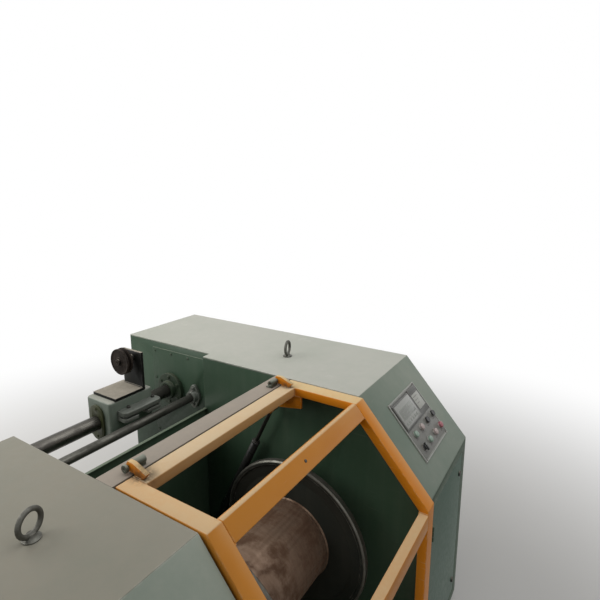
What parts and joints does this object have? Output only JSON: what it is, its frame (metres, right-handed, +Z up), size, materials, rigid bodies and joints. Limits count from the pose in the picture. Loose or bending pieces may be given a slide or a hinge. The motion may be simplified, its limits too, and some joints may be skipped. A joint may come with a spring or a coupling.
{
  "type": "wire drawing machine take-up block",
  "caption": "Sheet-metal take-up block of a wire drawing machine: two housings, a spool bay under a hinged open guard frame, control plate, and a rear carriage with a guide pulley.",
  "frame": {"origin": "on the floor under the middle of the machine", "axes": "+X along the spool axis towards the housing with the controls, -Y the operator's side with the sloping faces, +Z up"},
  "size_m": [1.712, 1.603, 1.214],
  "materials": {
    "top_paint": "dusty light grey-green paint",
    "body_paint": "dark green machine paint, satin",
    "face_paint": "grey-green machine paint, satin",
    "guard_paint": "worn yellow-orange safety paint",
    "beam_paint": "dusty grey paint",
    "polished_steel": "ground and polished shaft steel",
    "dark_steel": "oiled dark steel",
    "black_paint": "satin black paint",
    "spool_paint": "worn dark paint with a bare steel rim",
    "barrel_steel": "rust-stained steel",
    "rusty_iron": "rust brown cast iron",
    "olive_paint": "olive paint, oily",
    "panel_grey": "light grey control plate",
    "display_grey": "grey plastic screen unit",
    "button_black": "black plastic"
  },
  "bodies": {
    "machine": {"left_case": "body_paint", "left_top": "top_paint", "right_case": "body_paint", "rear_case": "body_paint", "right_top": "top_paint", "slope_covers": "face_paint", "front_doors": "face_paint", "end_covers": "body_paint", "rear_door": "body_paint", "drive_cover": "body_paint", "base_frame": "black_paint", "bay_floor": "body_paint", "back_panel": "body_paint", "hinge_beam": "beam_paint", "control_plate": "panel_grey", "display": "display_grey", "push_buttons": "button_black", "hinge_lugs": "dark_steel", "strut_bracket": "dark_steel", "drive_flange": "body_paint", "tail_quill": "body_paint", "guide_shaft": "polished_steel", "guide_flange": "body_paint", "traverse_bearing": "dark_steel", "shaft_stand": "body_paint", "eyebolts": "dark_steel", "door_locks": "black_paint"},
    "guard": {"guard_rear_rail": "guard_paint", "guard_left_arch": "guard_paint", "guard_right_arch": "guard_paint", "guard_crest_bar": "guard_paint", "guard_front_bars": "guard_paint", "strut_lever": "guard_paint", "hinge_straps": "guard_paint"},
    "strut_cylinder": {"strut_cylinder": "black_paint"},
    "strut_rod": {"strut_rod": "polished_steel"},
    "spool": {"spool_flanges": "spool_paint", "spool_barrel": "barrel_steel", "drive_spindle": "dark_steel", "tail_pintle": "dark_steel"},
    "traverse_shaft": {"traverse_shaft": "dark_steel"},
    "carriage": {"carriage_body": "face_paint", "carriage_bushes": "olive_paint", "pulley_bracket": "black_paint", "shaft_clamp": "dark_steel"},
    "pulley": {"guide_pulley": "rusty_iron"}
  },
  "joints": [
    {"name": "guard_hinge", "type": "hinge", "parent": "machine", "child": "guard", "pos_m": [0, -0.2045, 1.156], "axis": [-1, 0, 0], "range_deg": [0, 70]},
    {"name": "strut_swing", "type": "hinge", "parent": "machine", "child": "strut_cylinder", "pos_m": [0.317, 0.1975, 0.3], "axis": [1, 0, 0], "range_deg": [0, 7.28]},
    {"name": "strut_slide", "type": "slide", "parent": "strut_cylinder", "child": "strut_rod", "axis": [0, -0.4432, 0.8964], "range_m": [0, 0.1161]},
    {"name": "spool_spin", "type": "hinge", "parent": "machine", "child": "spool", "pos_m": [0.24, -0.2855, 0.531], "axis": [1, 0, 0], "continuous": true},
    {"name": "traverse_shaft_spin", "type": "hinge", "parent": "machine", "child": "traverse_shaft", "pos_m": [0, 0.3375, 0.918], "axis": [1, 0, 0], "continuous": true},
    {"name": "carriage_slide", "type": "slide", "parent": "machine", "child": "carriage", "axis": [1, 0, 0], "range_m": [-0.26, 0.13]},
    {"name": "pulley_spin", "type": "hinge", "parent": "carriage", "child": "pulley", "pos_m": [0.103, 0.468, 1.152], "axis": [1, 0, 0], "continuous": true}
  ],
  "couplings": [
    {"joint": "strut_swing", "follows": "guard_hinge", "ratio": 0.10393},
    {"joint": "strut_slide", "follows": "guard_hinge", "m_per_rad": 0.094981}
  ]
}
